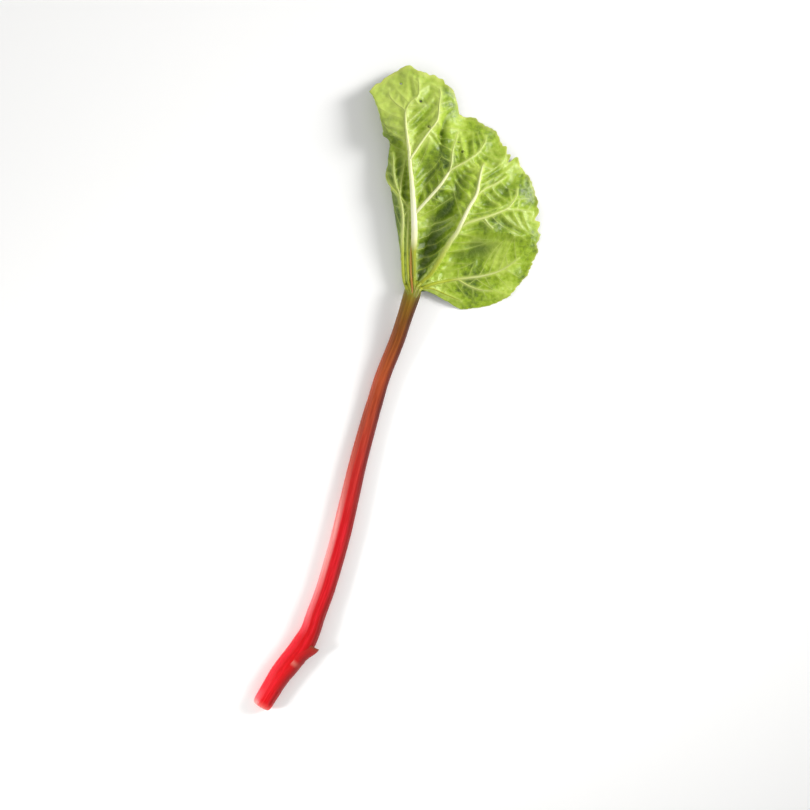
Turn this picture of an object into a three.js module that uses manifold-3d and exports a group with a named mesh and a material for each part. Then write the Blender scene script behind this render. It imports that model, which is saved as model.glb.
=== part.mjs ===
// A pulled rhubarb stalk with its leaf, lying face down on a surface.
//
// Millimetres, +Z up, +Y from the pulled base towards the leaf tip. The origin is the middle of the
// footprint, on the surface. The flat inner side of the stalk lies on the surface. The leaf turns
// its underside up, and its left half is folded under. Places in plan are measured from a point
// beside the middle of the footprint, and the finished pieces are moved by CENTRE at the end.

import Module from 'manifold-3d';
import * as THREE from 'three';
import { mergeVertices } from 'three/addons/utils/BufferGeometryUtils.js';

// ---------------------------------------------------------------- driving dimensions

const CENTRE = [-0.2, -0.7];        // middle of the footprint, in the plan used below
const GAP = 0.3;                    // clearance between pieces that touch
const SECTION_SIDES = 14;           // sides of the stalk's section
const STALK_RINGS = 50;             // sections along the stalk
const FLAT_CUT = 0.13;              // share of the round section that the flat inner side cuts off

// Stalk stations from the pulled end to the leaf: x, y, lift of the flat side, width, thickness.
const STALK_STATIONS = [
  [-137.5, -319.5, 0, 19.5, 14.5],
  [-120.5, -291.5, 0, 21.5, 15.5],
  [-111.5, -279.5, 0, 23, 16],
  [-103, -267.5, 0, 23.5, 16],
  [-95.3, -255.5, 0, 22.8, 16],
  [-88.2, -243, 0, 20, 15.5],
  [-81.5, -226, 0, 19.5, 15],
  [-72.5, -201.5, 0, 19.5, 14.5],
  [-63.5, -171.5, 0, 19.5, 14],
  [-55.5, -141.5, 0, 19.5, 14],
  [-48.5, -111.5, 0, 19, 13.5],
  [-39.5, -73.5, 0, 18, 13],
  [-29.5, -36.5, 0, 17, 12.5],
  [-22, -11, 0.5, 16, 12.5],
  [-14.5, 13.5, 2, 15.5, 12],
  [-1.5, 46, 4.5, 15.5, 12],
  [7, 71, 7.5, 15.5, 12],
  [13.5, 91, 10, 16.5, 12],
  [16.5, 101, 11, 18, 11.5],
];
const END_TAPER = 4.5;              // length over which the pulled end rounds off
const END_WIDTH = 0.78;             // share of the full width left on the end face
const END_RINGS = 4;                // sections spent on that rounding

const JUNCTION = [15.5, 99.5];      // where the stalk fans out into the ribs of the leaf
const BLADE_THICKNESS = 1.2;
const BLADE_START = 4;              // distance from the junction at which the blade begins
const BLADE_COLUMNS = 50;
const BLADE_RINGS = 24;
const LEAST_HEIGHT = 0.62;          // lowest the middle of the blade may lie: half its thickness
const UNDER_HEIGHT = 2;             // height of the half that is folded under

// Edge of the leaf laid flat: bearing from the midrib in degrees, + to the right, and distance from
// the junction.
const LEAF_EDGE = [
  [-112, 48], [-98, 76], [-80, 110], [-62, 142], [-44, 168], [-28, 186], [-13, 202],
  [-9, 210], [-3, 223], [2.5, 220], [8.5, 214], [12.5, 200], [15.5, 183], [20, 185], [28, 178],
  [34, 170], [37, 161], [39.5, 165], [49, 159.5], [59, 146], [64, 143], [73, 131], [84, 112],
  [97, 90], [112, 52],
];

// Height of the leaf above the surface, by bearing, at even steps from the junction to the edge.
const LEAF_HEIGHTS = [
  [-13, [11, 17, 22, 21, 3]],
  [0, [11, 22, 30, 29, 8]],
  [10, [11, 20, 25, 24, 5]],
  [20, [11, 18, 24, 22, 6]],
  [38, [11, 20, 27, 21, 3]],
  [52, [11, 17, 23, 19, 4]],
  [64, [11, 15, 20, 16, 1]],
  [80, [11, 12, 12, 8, 0]],
  [112, [11, 10, 7, 4, 0]],
];

// Course of the fold along which the left half turns under: y, x.
const FOLD_LINE = [
  [70, 7], [106, 4.5], [172, 3], [200, -0.5], [228, -6], [246, -10], [258, -17], [275, -21.5],
  [286, -25.5], [296, -30], [325, -55],
];

// Main ribs in plan, with their radius where they leave the stalk and at their far end.
const RIBS = [
  {
    course: [[15.5, 96], [16.5, 136], [16, 180], [13, 217], [9.5, 251], [8, 278]],
    from: 3.8,
    to: 1.1,
  },
  {
    course: [[17, 97], [34.5, 115.5], [51.5, 144.5], [68.5, 175], [81, 205], [87, 225]],
    from: 2.6,
    to: 0.9,
  },
  {
    course: [[18, 96], [36, 103], [60, 108], [88, 110], [110, 118]],
    from: 2.4,
    to: 0.8,
  },
  {
    course: [[17.5, 172], [29, 190], [43, 206], [55, 218], [80, 234], [88, 252]],
    from: 2,
    to: 0.7,
  },
];
const RIB_RINGS = 14;
const RIB_SIDES = 6;
const RIB_STAND = 0.35;             // height of a rib's middle above the blade, in radii

// The sheath scrap: where it starts and ends along the stalk, then its two sides round the stalk,
// with 0 the right flank and 0.25 the top.
const SHEATH_FROM = 0.028;
const SHEATH_TO = 0.235;
const SHEATH_LOW = 0.045;
const SHEATH_HIGH = 0.3;
const SHEATH_PEEL = 0.72;           // share of its length after which it stands away from the stalk
const SHEATH_SPUR = 5.2;            // how far its tip stands away
const SHEATH_THICKNESS = 0.9;
const SHEATH_COLUMNS = 7;
const SHEATH_ROWS = 16;

// ---------------------------------------------------------------- helpers

const radians = THREE.MathUtils.degToRad;

// A smooth line through [position, value] pairs, level beyond both ends.
function follow(pairs, at) {
  const last = pairs.length - 1;
  if (at <= pairs[0][0]) return pairs[0][1];
  if (at >= pairs[last][0]) return pairs[last][1];
  let here = 0;
  while (at > pairs[here + 1][0]) here += 1;
  const slope = (index) => {
    const before = pairs[Math.max(index - 1, 0)];
    const after = pairs[Math.min(index + 1, last)];
    return (after[1] - before[1]) / (after[0] - before[0]);
  };
  const span = pairs[here + 1][0] - pairs[here][0];
  const u = (at - pairs[here][0]) / span;
  const start = pairs[here][1];
  const rise = pairs[here + 1][1] - start;
  const first = slope(here) * span;
  const second = slope(here + 1) * span;
  return start + first * u + (3 * rise - 2 * first - second) * u ** 2
    + (first + second - 2 * rise) * u ** 3;
}

// A smooth open curve through points, evenly paced from point to point.
function smoothCurve(points) {
  return new THREE.CatmullRomCurve3(points, false, 'catmullrom', 0.5);
}

// A closed mesh from rings of points, capped at both ends with a fan from each ring's middle.
function loft(rings) {
  const sides = rings[0].length;
  const middle = (ring) => ring.reduce((sum, point) => sum.add(point), new THREE.Vector3())
    .divideScalar(sides);
  const points = [...rings.flat(), middle(rings[0]), middle(rings[rings.length - 1])];
  const startCap = points.length - 2;
  const endCap = points.length - 1;
  const faces = [];
  for (let ring = 0; ring < rings.length - 1; ring += 1) {
    for (let side = 0; side < sides; side += 1) {
      const a = ring * sides + side;
      const b = ring * sides + (side + 1) % sides;
      faces.push(a, b, b + sides, a, b + sides, a + sides);
    }
  }
  const lastRing = (rings.length - 1) * sides;
  for (let side = 0; side < sides; side += 1) {
    const next = (side + 1) % sides;
    faces.push(startCap, next, side, endCap, lastRing + side, lastRing + next);
  }
  return indexed(points, faces);
}

// A closed skin of even thickness round a sheet given as surface(u, v), with u and v from 0 to 1.
function skin(surface, columns, rows, thickness) {
  const step = 1e-3;
  const faces = [];
  const top = [];
  const bottom = [];
  for (let row = 0; row <= rows; row += 1) {
    for (let column = 0; column <= columns; column += 1) {
      const u = column / columns;
      const v = row / rows;
      const across = surface(Math.min(u + step, 1), v).sub(surface(Math.max(u - step, 0), v));
      const along = surface(u, Math.min(v + step, 1)).sub(surface(u, Math.max(v - step, 0)));
      const normal = across.cross(along).normalize().multiplyScalar(thickness / 2);
      top.push(surface(u, v).add(normal));
      bottom.push(surface(u, v).sub(normal));
    }
  }
  const wide = columns + 1;
  const under = top.length;
  const quad = (a, b, c, d) => faces.push(a, b, c, a, c, d);
  for (let row = 0; row < rows; row += 1) {
    for (let column = 0; column < columns; column += 1) {
      const a = row * wide + column;
      quad(a, a + 1, a + wide + 1, a + wide);
      quad(under + a, under + a + wide, under + a + wide + 1, under + a + 1);
    }
  }
  for (let column = 0; column < columns; column += 1) {
    const far = rows * wide + column;
    quad(column + 1, column, under + column, under + column + 1);
    quad(far, far + 1, under + far + 1, under + far);
  }
  for (let row = 0; row < rows; row += 1) {
    const near = row * wide;
    const far = near + columns;
    quad(near, near + wide, under + near + wide, under + near);
    quad(far + wide, far, under + far, under + far + wide);
  }
  return indexed([...top, ...bottom], faces);
}

function indexed(points, faces) {
  const geometry = new THREE.BufferGeometry().setFromPoints(points);
  geometry.setIndex(faces);
  return geometry;
}

// ---------------------------------------------------------------- stalk

const stalkCourse = smoothCurve(STALK_STATIONS.map(([x, y, lift]) => new THREE.Vector3(x, y, lift)));
const stalkGirth = smoothCurve(
  STALK_STATIONS.map(([, , , width, thickness]) => new THREE.Vector3(width, thickness, 0)),
);
const stalkLength = stalkCourse.getLength();

// One point of the stalk's skin: `along` runs from 0 at the pulled end to 1, `turn` from 0 to 1
// round the section, starting at the right flank and going over the top. `grow` moves it outwards.
function stalkPoint(along, turn, grow) {
  const centre = stalkCourse.getPoint(along);
  centre.z = Math.max(centre.z, 0);
  const heading = stalkCourse.getTangent(along).setZ(0).normalize();
  const right = new THREE.Vector3(heading.y, -heading.x, 0);
  const girth = stalkGirth.getPoint(along);
  const fromEnd = Math.min(along * stalkLength / END_TAPER, 1);
  const rounding = END_WIDTH + (1 - END_WIDTH) * Math.sqrt(1 - (1 - fromEnd) ** 2);
  const angle = turn * Math.PI * 2;
  const across = Math.cos(angle) * (girth.x * rounding / 2 + grow);
  const round = Math.max(0.5 + Math.sin(angle) / 2, FLAT_CUT) - FLAT_CUT;
  const up = round / (1 - FLAT_CUT) * (girth.y * rounding + grow);
  return centre.addScaledVector(right, across).setZ(centre.z + (round > 0 ? up : -grow));
}

function stalkGeometry(grow) {
  const taper = END_TAPER / stalkLength;
  const stops = [];
  for (let ring = 0; ring < END_RINGS; ring += 1) {
    stops.push(taper * (1 - Math.cos(ring / END_RINGS * Math.PI / 2)));
  }
  for (let ring = 0; ring <= STALK_RINGS; ring += 1) {
    stops.push(THREE.MathUtils.lerp(taper, 1, ring / STALK_RINGS));
  }
  const rings = stops.map((along) => {
    const points = [];
    for (let side = 0; side < SECTION_SIDES; side += 1) {
      points.push(stalkPoint(along, -side / SECTION_SIDES, grow));
    }
    return points;
  });
  return loft(rings);
}

// ---------------------------------------------------------------- leaf

function leafHeight(bearing, reach) {
  const byBearing = LEAF_HEIGHTS.map(([at, heights]) => {
    const steps = heights.map((height, index) => [index / (heights.length - 1), height]);
    return [at, follow(steps, reach)];
  });
  return follow(byBearing, bearing);
}

// Height of the leaf above a place in plan.
function heightAt(x, y) {
  const dx = x - JUNCTION[0];
  const dy = y - JUNCTION[1];
  const bearing = THREE.MathUtils.radToDeg(Math.atan2(dx, dy));
  return leafHeight(bearing, Math.hypot(dx, dy) / follow(LEAF_EDGE, bearing));
}

// Waves along the edge, fading towards the middle of the leaf.
function ruffle(bearing, reach) {
  const wide = 3 * Math.sin(radians(bearing * 13));
  const narrow = 1.6 * Math.sin(radians(bearing * 31 + 70));
  return reach ** 5 * (wide + narrow);
}

// A place on the leaf: bearing in degrees, reach from 0 at the junction to 1 at the edge.
function leafPoint(bearing, reach) {
  const drawnIn = 0.2 * (1 - reach) ** 2 * THREE.MathUtils.smoothstep(Math.abs(bearing), 60, 110);
  const turned = bearing * (1 - drawnIn);
  const distance = BLADE_START + (follow(LEAF_EDGE, bearing) - BLADE_START) * reach;
  const x = JUNCTION[0] + distance * Math.sin(radians(turned));
  const y = JUNCTION[1] + distance * Math.cos(radians(turned));
  const foldX = follow(FOLD_LINE, y);
  if (x >= foldX) {
    const height = heightAt(x, y) + ruffle(bearing, reach);
    return new THREE.Vector3(x, y, Math.max(height, LEAST_HEIGHT));
  }
  const top = heightAt(foldX, y);
  const radius = (top - UNDER_HEIGHT) / 2;
  const turn = Math.min((foldX - x) / radius, Math.PI);
  const beyond = Math.max(foldX - x - Math.PI * radius, 0);
  return new THREE.Vector3(
    foldX - radius * Math.sin(turn) + beyond,
    y,
    top - radius * (1 - Math.cos(turn)),
  );
}

const edgeStart = LEAF_EDGE[0][0];
const edgeEnd = LEAF_EDGE[LEAF_EDGE.length - 1][0];

function bladeSurface(u, v) {
  return leafPoint(edgeEnd + (edgeStart - edgeEnd) * u, v);
}

// A round rib of tapering thickness, lying on the leaf along a course given in plan.
function ribSolid({ course, from, to }) {
  const plan = smoothCurve(course.map(([x, y]) => new THREE.Vector3(x, y, 0)));
  const rings = [];
  for (let ring = 0; ring <= RIB_RINGS; ring += 1) {
    const along = ring / RIB_RINGS;
    const radius = THREE.MathUtils.lerp(from, to, along ** 0.7);
    const centre = plan.getPoint(along);
    const heading = plan.getTangent(along);
    const right = new THREE.Vector3(heading.y, -heading.x, 0);
    centre.z = heightAt(centre.x, centre.y) + radius * RIB_STAND;
    const points = [];
    for (let side = 0; side < RIB_SIDES; side += 1) {
      const angle = -side / RIB_SIDES * Math.PI * 2;
      const point = centre.clone().addScaledVector(right, Math.cos(angle) * radius);
      points.push(point.setZ(centre.z + Math.sin(angle) * radius));
    }
    rings.push(points);
  }
  return loft(rings);
}

// ---------------------------------------------------------------- sheath scrap

// A place on the sheath: u across the stalk from the right flank up, v along it from the pulled end.
function sheathPoint(u, v) {
  const along = THREE.MathUtils.lerp(SHEATH_FROM, SHEATH_TO, v);
  const peeled = THREE.MathUtils.smoothstep(v, SHEATH_PEEL, 1);
  const turn = SHEATH_LOW + (SHEATH_HIGH - SHEATH_LOW) * (1 - 0.75 * peeled) * u;
  return stalkPoint(along, turn, GAP + SHEATH_THICKNESS / 2 + SHEATH_SPUR * peeled);
}

// ---------------------------------------------------------------- solids

const wasm = await Module();
wasm.setup();

function toSolid(geometry) {
  geometry.deleteAttribute('normal');
  geometry.deleteAttribute('uv');
  const merged = mergeVertices(geometry, 1e-5);
  return new wasm.Manifold(new wasm.Mesh({
    numProp: 3,
    vertProperties: merged.attributes.position.array,
    triVerts: new Uint32Array(merged.index.array),
  }));
}

function toGeometry(solid) {
  const mesh = solid.getMesh();
  const geometry = new THREE.BufferGeometry();
  geometry.setAttribute('position', new THREE.BufferAttribute(mesh.vertProperties, 3));
  geometry.setIndex(new THREE.BufferAttribute(mesh.triVerts, 1));
  return geometry;
}

// The sheet of the leaf joined with its main ribs, and cut back to clear the end of the stalk.
function bladeGeometry() {
  const sheet = toSolid(skin(bladeSurface, BLADE_COLUMNS, BLADE_RINGS, BLADE_THICKNESS));
  const ribbed = RIBS.reduce((solid, rib) => solid.add(toSolid(ribSolid(rib))), sheet);
  return toGeometry(ribbed.subtract(toSolid(stalkGeometry(GAP))));
}

// ---------------------------------------------------------------- the part

function piece(name, geometry, color, roughness) {
  geometry.translate(-CENTRE[0], -CENTRE[1], 0);
  const material = new THREE.MeshStandardMaterial({ color, roughness, metalness: 0 });
  const mesh = new THREE.Mesh(geometry, material);
  mesh.name = name;
  return mesh;
}

const sheathGeometry = skin(sheathPoint, SHEATH_COLUMNS, SHEATH_ROWS, SHEATH_THICKNESS);
const rhubarb = new THREE.Group();
rhubarb.add(
  piece('stalk', stalkGeometry(0), '#c4232c', 0.35),
  piece('base_sheath', sheathGeometry, '#b5141f', 0.4),
  piece('leaf_blade', bladeGeometry(), '#a9be55', 0.55),
);

export default rhubarb;
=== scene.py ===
# %% [markdown]
# # A pulled rhubarb stalk with its leaf
#
# Rhubarb is pulled, not cut. The leafstalk comes away with a thick, pale, slightly hollow foot and
# often a scrap of the thin sheath that wrapped the bud. It is rounded and finely ribbed on its
# outer side and flat on its inner side. At the top it spreads into the ribs of one big leaf. This
# one lies face down: the flat side of the stalk is on the table, the veined underside of the leaf
# is turned up, and its left half has folded under.
#
# The solid model gives every size. This script loads it and dresses it: the stalk, the sheath, the
# sheet of the leaf and its ribs are made here over the plain solids, in the same places.

# %% The frame
import math
from functools import partial

import bmesh
import bpy
import numpy as np
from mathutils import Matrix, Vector, kdtree, noise


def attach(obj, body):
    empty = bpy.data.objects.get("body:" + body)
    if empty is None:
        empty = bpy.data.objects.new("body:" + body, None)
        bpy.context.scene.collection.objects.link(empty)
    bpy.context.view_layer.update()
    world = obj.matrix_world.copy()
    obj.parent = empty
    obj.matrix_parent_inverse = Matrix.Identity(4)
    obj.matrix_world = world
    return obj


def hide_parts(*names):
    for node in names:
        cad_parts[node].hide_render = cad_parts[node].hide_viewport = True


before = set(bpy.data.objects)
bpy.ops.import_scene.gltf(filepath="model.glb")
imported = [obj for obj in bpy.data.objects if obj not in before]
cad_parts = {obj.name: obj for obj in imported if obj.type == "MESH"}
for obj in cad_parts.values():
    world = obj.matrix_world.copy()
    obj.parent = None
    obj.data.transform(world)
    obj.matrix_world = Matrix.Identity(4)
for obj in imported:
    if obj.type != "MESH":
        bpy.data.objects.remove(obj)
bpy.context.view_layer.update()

# %% [markdown]
# ## Measures and curves
#
# All sizes below are in millimetres, in the plan that the solid model uses, whose middle is at
# CENTRE. Two helpers turn them into the frame's metres. One more helper draws a smooth line
# through a few given values, because a plant has no straight lines and no corners. A fourth gives
# noise, for what is uneven.

# %% Millimetres, metres and smooth lines
CENTRE = (-0.2, -0.7)
MM = 0.001


def to_frame(x, y, z):
    """Places in plan, in millimetres, as rows of metres in the frame."""
    return np.stack([(x - CENTRE[0]) * MM, (y - CENTRE[1]) * MM, z * MM], axis=-1)


def smooth(knots, values, at):
    """A smooth line through values at knots, level beyond both ends.

    The values may differ from place to place: then they are a table with one column a place.
    """
    knots = np.asarray(knots, float)
    at = np.clip(np.atleast_1d(np.asarray(at, float)), knots[0], knots[-1])
    values = np.asarray(values, float)
    if values.ndim == 1:
        values = np.repeat(values[:, None], at.size, axis=1)
    slope = np.empty_like(values)
    slope[1:-1] = (values[2:] - values[:-2]) / (knots[2:] - knots[:-2])[:, None]
    slope[0] = (values[1] - values[0]) / (knots[1] - knots[0])
    slope[-1] = (values[-1] - values[-2]) / (knots[-1] - knots[-2])
    here = np.clip(np.searchsorted(knots, at, side="right") - 1, 0, len(knots) - 2)
    place = np.arange(at.size)
    span = knots[here + 1] - knots[here]
    part = (at - knots[here]) / span
    start = values[here, place]
    rise = values[here + 1, place] - start
    first = slope[here, place] * span
    second = slope[here + 1, place] * span
    bend = (3 * rise - 2 * first - second) * part**2
    return start + first * part + bend + (first + second - 2 * rise) * part**3


def fade(value, low, high):
    """0 below low, 1 above high, and smooth between them."""
    part = np.clip((np.asarray(value, float) - low) / (high - low), 0, 1)
    return part * part * (3 - 2 * part)


def noise_at(x, y, layer):
    """Soft noise between -1 and 1 at each place."""
    return np.array([noise.noise((a, b, layer)) for a, b in zip(x.tolist(), y.tolist())])


# %% [markdown]
# ## Nodes and meshes
#
# Geometry Nodes and materials are both made of nodes. One small helper adds a node, sets it up and
# links it, so that a tree reads from top to bottom like a recipe. The helpers for meshes make a
# plain mesh with named attributes, let a node tree work on it and keep the result as a plain mesh
# with no modifier left.

# %% Helpers for nodes
# Kinds of node that come up often, under a short name and with their setting.
SHORT_KINDS = {
    "noise": ("ShaderNodeTexNoise", {}),
    "cells": ("ShaderNodeTexVoronoi", {"feature": "DISTANCE_TO_EDGE"}),
    "ramp": ("ShaderNodeValToRGB", {}),
    "mix": ("ShaderNodeMix", {"data_type": "RGBA"}),
    "range": ("ShaderNodeMapRange", {}),
    "smooth range": ("ShaderNodeMapRange", {"interpolation_type": "SMOOTHSTEP"}),
    "vector": ("ShaderNodeVectorMath", {}),
    "named": ("GeometryNodeInputNamedAttribute", {}),
}


def connect(made, inputs):
    """Gives inputs of a node a socket, a node (its first output in use) or a plain value."""
    for key, value in inputs.items():
        if isinstance(value, bpy.types.Node):
            value = next(socket for socket in value.outputs if socket.enabled)
        if isinstance(value, bpy.types.NodeSocket):
            made.id_data.links.new(value, made.inputs[key])
        else:
            made.inputs[key].default_value = value


def add_node(tree, kind, *values, inputs=None, **settings):
    """Adds a node: values go to its inputs in order, and inputs has others by name.

    A kind in capitals is an operation of the Math node.
    """
    full_kind, preset = SHORT_KINDS.get(kind, (kind, {}))
    if kind.isupper():
        full_kind, preset = "ShaderNodeMath", {"operation": kind}
    made = tree.nodes.new(full_kind)
    for name, value in (preset | settings).items():
        setattr(made, name, value)
    in_use = [place for place, socket in enumerate(made.inputs) if socket.enabled]
    connect(made, dict(zip(in_use, values)) | (inputs or {}))
    return made


# %% Helpers for meshes
def new_object(name, points, edges=(), faces=(), **attributes):
    """A mesh object from points in metres, with its point attributes: numbers or vectors."""
    mesh = bpy.data.meshes.new(name)
    mesh.from_pydata(np.asarray(points).tolist(), list(edges), list(faces))
    for label, values in attributes.items():
        values = np.asarray(values, np.float32)
        if values.ndim == 2:
            kind, key = "FLOAT_VECTOR", "vector"
        else:
            kind, key = "FLOAT", "value"
        layer = mesh.attributes.new(label, kind, "POINT")
        layer.data.foreach_set(key, values.ravel())
    made = bpy.data.objects.new(name, mesh)
    bpy.context.scene.collection.objects.link(made)
    return made


def geometry_tree(name, sizes):
    """A node tree for a modifier, from its inputs: label, socket type, value.

    Gives the tree, the helper that adds a node to it, and its inputs.
    """
    tree = bpy.data.node_groups.new(name, "GeometryNodeTree")
    tree.is_modifier = True
    face = tree.interface
    face.new_socket("Geometry", in_out="INPUT", socket_type="NodeSocketGeometry")
    for label, kind, value in [*sizes, ("Skin", "Material", None)]:
        socket = face.new_socket(label, in_out="INPUT", socket_type="NodeSocket" + kind)
        if value is not None:
            socket.default_value = value
    face.new_socket("Geometry", in_out="OUTPUT", socket_type="NodeSocketGeometry")
    node = partial(add_node, tree)
    return tree, node, node("NodeGroupInput").outputs


def finish_tree(node, geometry, skin):
    """Ends a tree: instances become real mesh, which gets its material and goes out."""
    geometry = node("GeometryNodeRealizeInstances", geometry)
    geometry = node("GeometryNodeSetMaterial", geometry, inputs={"Material": skin})
    node("NodeGroupOutput", geometry)


def run_tree(piece, tree, **values):
    """Runs a tree on a piece and keeps the result as the piece's own plain mesh."""
    modifier = piece.modifiers.new(tree.name, "NODES")
    modifier.node_group = tree
    sockets = {item.name: item for item in tree.interface.items_tree if item.in_out == "INPUT"}
    for label, value in values.items():
        modifier[sockets[label.replace("_", " ")].identifier] = value
    bake(piece)


def bake(piece):
    """Turns a piece and its modifiers into a plain mesh."""
    bpy.context.view_layer.update()
    graph = bpy.context.evaluated_depsgraph_get()
    mesh = bpy.data.meshes.new_from_object(piece.evaluated_get(graph), depsgraph=graph)
    piece.modifiers.clear()
    piece.data = mesh
    mesh.name = piece.name


def thicken(piece, thickness, lower_material=0):
    """Gives a sheet its thickness in millimetres, half of it to each side."""
    wall = piece.modifiers.new("thickness", "SOLIDIFY")
    wall.thickness = thickness * MM
    wall.offset = 0.0
    wall.material_offset = lower_material
    bake(piece)


def face_outwards(piece):
    """Recalculates the normals of a closed mesh and shades it smooth."""
    shell = bmesh.new()
    shell.from_mesh(piece.data)
    bmesh.ops.recalc_face_normals(shell, faces=shell.faces)
    volume = shell.calc_volume(signed=True)
    if volume < 0:
        bmesh.ops.reverse_faces(shell, faces=shell.faces)
    open_edges = sum(1 for edge in shell.edges if not edge.is_manifold)
    shell.to_mesh(piece.data)
    shell.free()
    piece.data.shade_smooth()
    corners = sum(len(face.vertices) - 2 for face in piece.data.polygons)
    print(f"{piece.name}: {corners} triangles, {abs(volume) * 1e6:.1f} cm3, "
          f"{open_edges} open edges")


# %% [markdown]
# ## Colours
#
# Colours are written as sRGB hex values, as on a paint card, and one function turns them to the
# linear values that the shader works with.

# %% Hex to linear
def colour(hex_value):
    """A linear colour with alpha from a hex value such as '#c4232c'."""
    channels = [int(hex_value[place:place + 2], 16) / 255 for place in (1, 3, 5)]
    linear = [
        value / 12.92 if value <= 0.04045 else ((value + 0.055) / 1.055) ** 2.4
        for value in channels
    ]
    return (*linear, 1.0)


def new_material(name):
    """A material with only a Principled shader, and the helper that adds a node to it."""
    material = bpy.data.materials.new(name)
    material.use_nodes = True
    tree = material.node_tree
    tree.nodes.clear()
    node = partial(add_node, tree)
    shader = node("ShaderNodeBsdfPrincipled")
    node("ShaderNodeOutputMaterial", shader)
    return material, node, shader


def set_ramp(ramp, stops):
    """Fills a colour ramp from (place, hex colour) stops."""
    line = ramp.color_ramp
    while len(line.elements) > 1:
        line.elements.remove(line.elements[-1])
    line.elements[0].position = stops[0][0]
    line.elements[0].color = colour(stops[0][1])
    for place, hex_value in stops[1:]:
        line.elements.new(place).color = colour(hex_value)
    return ramp


# %% [markdown]
# ## The skin of the stalk
#
# The skin of a red stalk is a thin waxy cuticle over wet flesh, so it is glossy in soft streaks.
# The red is in the cells just under the skin. It is strongest at the foot, lets a paler pink
# through on the flank, where a painted highlight lightens it more, and gives way to orange brown
# and then olive where the leaf begins, with painted shade in part of the darker brown below the
# leaf. Painted shade also darkens the side turned to the ground. Long streaks run the whole way,
# because every rib is a strand of fibres. Two attributes carry the pattern: "along", from 0 at
# the foot to 1 at the leaf, and "turn", once round the section.

# %% Rhubarb skin
skin_material, node, shader = new_material("rhubarb_skin_waxy")
# Gives deep red with long paler streaks, a wet-looking soft gloss and fine lengthwise ribs.
along, turn = (node("ShaderNodeAttribute", attribute_name=name).outputs["Fac"]
               for name in ("along", "turn"))
round_angle = node("MULTIPLY", turn, math.tau)


def lengthwise_noise(runs_round, runs_along, detail):
    """Noise drawn out along the stalk, with so many runs round it, closed without a seam."""
    up = node("MULTIPLY", along, runs_along)
    place = node("ShaderNodeCombineXYZ", runs_round / math.tau, up)
    place = node("ShaderNodeVectorRotate", inputs={"Vector": place, "Angle": round_angle},
                 rotation_type="Y_AXIS")
    return node("noise", place, 1.0, detail)


# Streaks about 2 mm wide and 40 mm long, and fine ones of half a millimetre.
streaks = lengthwise_noise(26.0, 11.0, 3.0)
fine = lengthwise_noise(90.0, 60.0, 2.0)
# Nearer the leaf, around along 0.6 to 0.9, both ramps dip to a darker brown: partly the skin's own
# colour, partly painted shade.
red = set_ramp(node("ramp", along), [
    (0.0, "#f09a94"), (0.004, "#e86058"), (0.01, "#d80008"), (0.12, "#d20008"), (0.26, "#c60208"),
    (0.5, "#c60410"), (0.6, "#b21e18"), (0.667, "#9c341a"), (0.72, "#9a3a18"), (0.767, "#aa4820"),
    (0.83, "#804010"), (0.883, "#72460c"), (0.915, "#7a580e"), (0.95, "#786e18"),
    (0.98, "#849026"), (1.0, "#90a02c"),
])
# Flank colour: partly the skin's own paler pink, partly a painted highlight.
pale_and_highlight = set_ramp(node("ramp", along), [
    (0.0, "#f8b0a8"), (0.01, "#f8606c"), (0.03, "#ee1830"), (0.24, "#e8182a"), (0.29, "#f24856"),
    (0.334, "#f46e74"), (0.4, "#f58a8a"), (0.444, "#f6a4a0"), (0.51, "#f6a09c"), (0.6, "#c85a4a"),
    (0.67, "#a04228"), (0.767, "#bc5030"), (0.86, "#84461a"), (0.925, "#7c5a12"), (1.0, "#788020"),
])
bright = set_ramp(node("ramp", along), [
    (0.0, "#ff2838"), (0.2, "#f41c30"), (0.5, "#f83040"), (0.66, "#d8583c"), (0.8, "#c46a34"),
    (0.92, "#9a7420"), (1.0, "#8c9428"),
])
flank = node("smooth range", turn, 0.285, 0.38)
streak_mask = node("smooth range", streaks, 0.42, 0.66)
flank_end = node("smooth range", turn, 0.6, 0.74, 1.0, 0.0)
flank = node("MULTIPLY", flank, flank_end)
flank_streaks = node("range", streaks, 0.36, 0.64, 0.92, 0.56)
flank_highlight_share = node("MULTIPLY", flank, flank_streaks)
streak_share = node("MULTIPLY", streak_mask, 0.42)
streaked = node("mix", streak_share, red, bright)
base = node("mix", flank_highlight_share, streaked, pale_and_highlight)
# Painted shade: the side turned to the ground is multiplied darker.
ground_side_shade = node("smooth range", turn, 0.23, 0.1, 0.0, 1.0)
painted_shade_tint = set_ramp(node("ramp", along), [
    (0.0, "#fff4ee"), (0.005, "#fff4ee"), (0.014, "#b07460"), (0.58, "#a66c58"), (0.7, "#8e5c4a"),
    (0.93, "#9c8064"), (1.0, "#ccc898"),
])
base = node("mix", ground_side_shade, base, painted_shade_tint, blend_type="MULTIPLY")
deep_mask = node("range", fine, 0.5, 0.75, 0.0, 0.22)
deep = node("mix", deep_mask, base, colour("#7d0a14"))
relief = node("ADD", streaks, fine)
connect(shader, {
    "Base Color": deep, "Roughness": node("range", streaks, 0, 1, 0.28, 0.44), "IOR": 1.345,
    "Subsurface Weight": 0.06, "Subsurface Radius": (1.0, 0.25, 0.15),
    "Subsurface Scale": 0.0035,
    "Normal": node("ShaderNodeBump",
                   inputs={"Strength": 0.22, "Distance": 0.0004, "Height": relief}),
})
print("material:", skin_material.name)

# %% [markdown]
# ## The stalk
#
# A sweep is the natural way to make a stalk: one section follows one course. The section is flat
# on its inner side and rounded on its outer side, with fifteen fine ribs, each the strand of
# fibres that comes away when a stalk is peeled. Geometry Nodes take a bare line of points, each
# with its own heading, width and thickness, lay a ring of points round every one, and push the
# ring into that section. The foot closes in a shallow hollow, where the stalk sat on the crown.

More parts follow.
